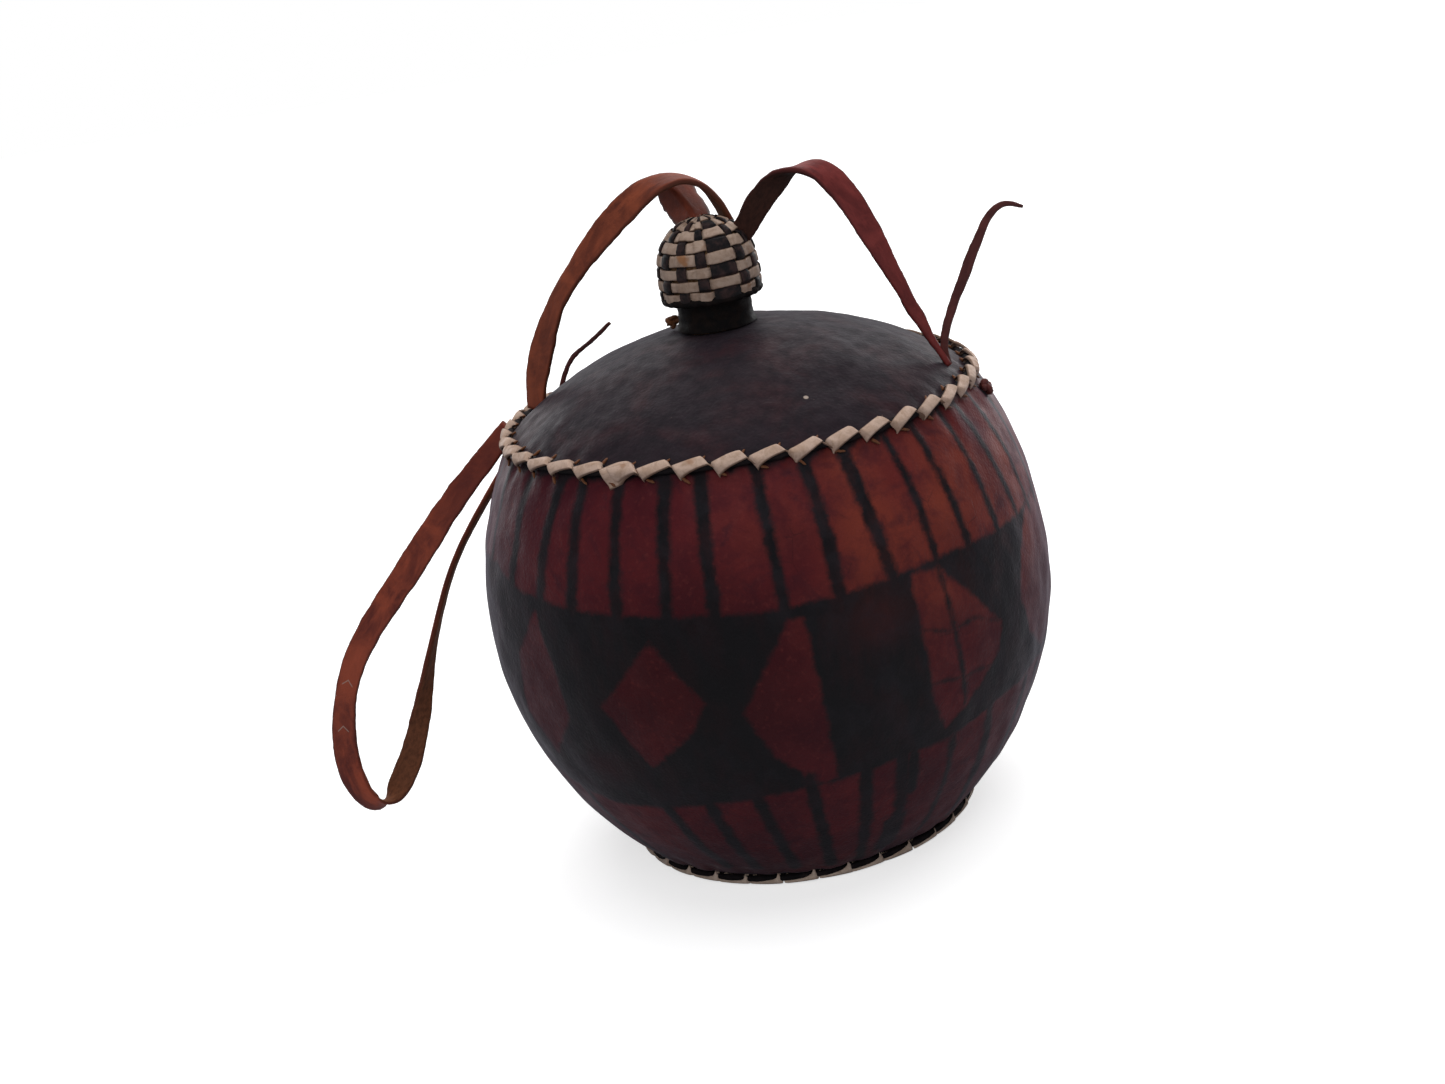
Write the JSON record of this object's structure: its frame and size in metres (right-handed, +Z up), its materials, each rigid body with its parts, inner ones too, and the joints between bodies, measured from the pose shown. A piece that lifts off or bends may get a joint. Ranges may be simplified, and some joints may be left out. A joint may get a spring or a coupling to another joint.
{
  "type": "gourd rattle",
  "caption": "Round gourd rattle under laced leather covers, with a wrapped neck, a woven stopper held captive by its strap, loose seeds and a hanging loop.",
  "frame": {"origin": "centre of the flat base, on the surface that the rattle stands on", "axes": "+Z up along the gourd's axis to the stopper; front toward -Y; the carrying loop hangs on the -X side"},
  "size_m": [0.2083, 0.1506, 0.1797],
  "materials": {
    "gourd": "dry, satin",
    "side_leather": "dyed red with hand-painted black, worn satin",
    "crown_leather": "blue-black dyed, satin",
    "base_leather": "blue-black dyed, matt",
    "thong": "brown, matt",
    "dark_thong": "black, matt",
    "lace": "undyed hide, satin",
    "turned_wood": "matt",
    "neck_leather": "black, satin",
    "dark_weave": "black, satin",
    "light_weave": "undyed hide, satin",
    "strap_leather": "rust brown, satin",
    "tail_leather": "red brown, satin",
    "seed": "smooth"
  },
  "bodies": {
    "gourd": {"gourd_shell": "gourd", "side_cover": "side_leather", "crown_cover": "crown_leather", "base_cover": "base_leather", "side_seam_stitches": "thong", "crown_welt": "dark_thong", "crown_lacing": "lace", "crown_stitches": "thong", "base_welt": "dark_thong", "base_lacing": "lace", "neck_collar": "turned_wood", "neck_wrap": "neck_leather", "neck_knot": "thong", "strap_left_arch": "strap_leather", "strap_right_arch": "strap_leather", "carrying_loop": "strap_leather", "right_tail": "tail_leather", "right_knot": "tail_leather", "left_tail": "tail_leather", "left_knot": "tail_leather"},
    "stopper": {"stopper_plug": "turned_wood", "stopper_head": "turned_wood", "stopper_warps": "dark_weave", "stopper_wefts": "light_weave", "stopper_rim": "dark_thong", "strap_tongue": "strap_leather"},
    "seed_lane_left": {"seeds_left": "seed"},
    "seed_lane_middle": {"seeds_middle": "seed"},
    "seed_lane_right": {"seeds_right": "seed"}
  },
  "joints": [
    {"name": "stopper_pull", "type": "slide", "parent": "gourd", "child": "stopper", "axis": [0, 0, 1], "range_m": [0, 0.028], "deforming": ["strap_left_arch", "strap_right_arch"]},
    {"name": "seeds_left_roll", "type": "hinge", "parent": "gourd", "child": "seed_lane_left", "pos_m": [-0.016, 0, 0.072], "axis": [1, 0, 0], "range_deg": [-90, 90]},
    {"name": "seeds_middle_roll", "type": "hinge", "parent": "gourd", "child": "seed_lane_middle", "pos_m": [0, 0, 0.072], "axis": [1, 0, 0], "range_deg": [-90, 90]},
    {"name": "seeds_right_roll", "type": "hinge", "parent": "gourd", "child": "seed_lane_right", "pos_m": [0.016, 0, 0.072], "axis": [1, 0, 0], "range_deg": [-90, 90]}
  ]
}
